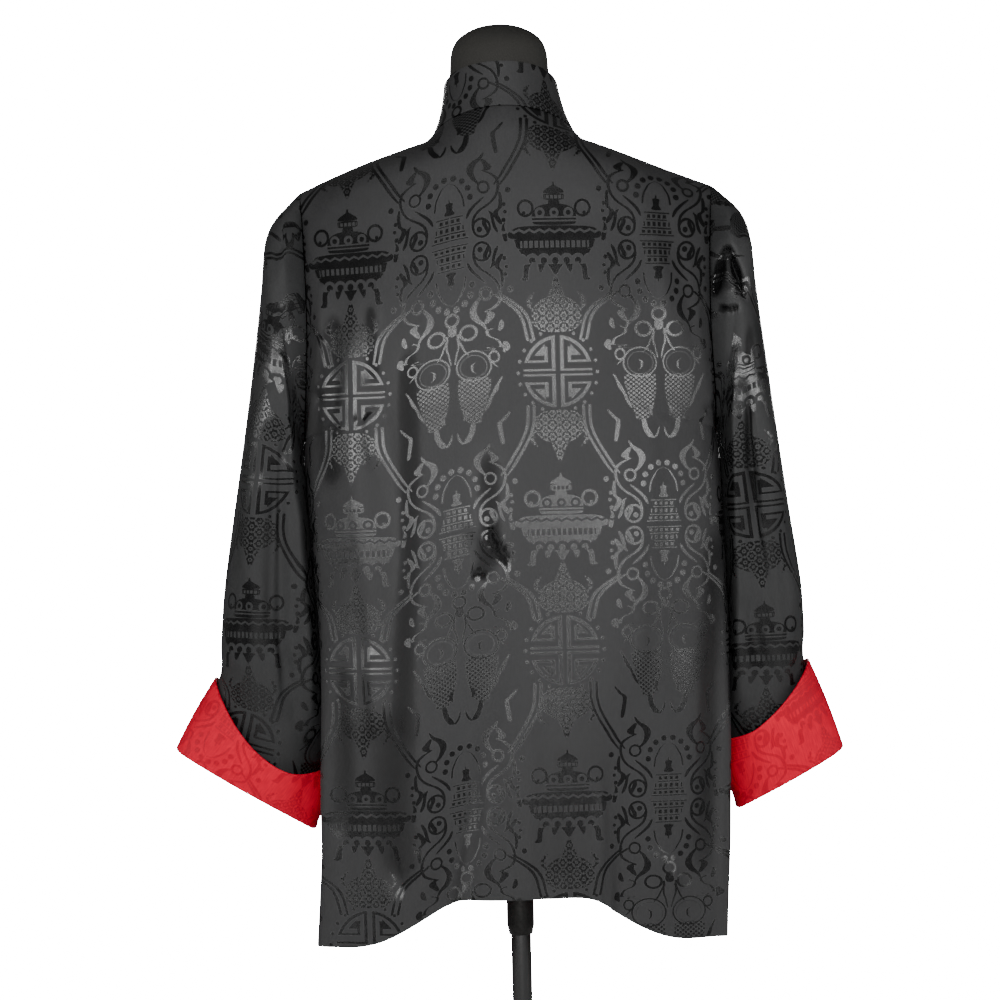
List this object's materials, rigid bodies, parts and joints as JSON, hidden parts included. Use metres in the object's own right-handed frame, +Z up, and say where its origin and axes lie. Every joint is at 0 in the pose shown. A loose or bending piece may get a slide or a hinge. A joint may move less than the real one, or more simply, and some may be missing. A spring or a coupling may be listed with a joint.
{
  "type": "tang jacket on dress form",
  "caption": "Black brocade stand-collar jacket with set-in sleeves and turned-back red cuffs, closed with cord frogs, worn by a limbless dress form on a pole stand.",
  "frame": {"origin": "on the floor, at the centre of the round stand's underside", "axes": "+Z up, the jacket's front faces -Y and its left sleeve lies towards +X"},
  "size_m": [0.6355, 0.36, 1.3],
  "materials": {
    "black_brocade": "satin jacquard, woven figure and ground",
    "red_reverse": "satin jacquard, reverse side",
    "black_cord": "satin cord",
    "form_cover": "matt woven cover",
    "dark_metal": "dark grey, satin",
    "black_paint": "black, satin"
  },
  "bodies": {
    "root": {"jacket_back": "black_brocade", "jacket_front_left": "black_brocade", "jacket_front_right": "black_brocade", "jacket_sleeve_left": "black_brocade", "jacket_sleeve_right": "black_brocade", "cuff_left": "red_reverse", "cuff_right": "red_reverse", "collar": "black_brocade", "frog_1_knot_cord": "black_cord", "frog_1_loop": "black_cord", "frog_1_knot": "black_cord", "frog_2_knot_cord": "black_cord", "frog_2_loop": "black_cord", "frog_2_knot": "black_cord", "frog_3_knot_cord": "black_cord", "frog_3_loop": "black_cord", "frog_3_knot": "black_cord", "frog_4_knot_cord": "black_cord", "frog_4_loop": "black_cord", "frog_4_knot": "black_cord", "frog_5_knot_cord": "black_cord", "frog_5_loop": "black_cord", "frog_5_knot": "black_cord", "dress_form": "form_cover", "form_socket": "dark_metal", "stand_pole": "black_paint", "stand_base": "black_paint"}
  },
  "joints": []
}
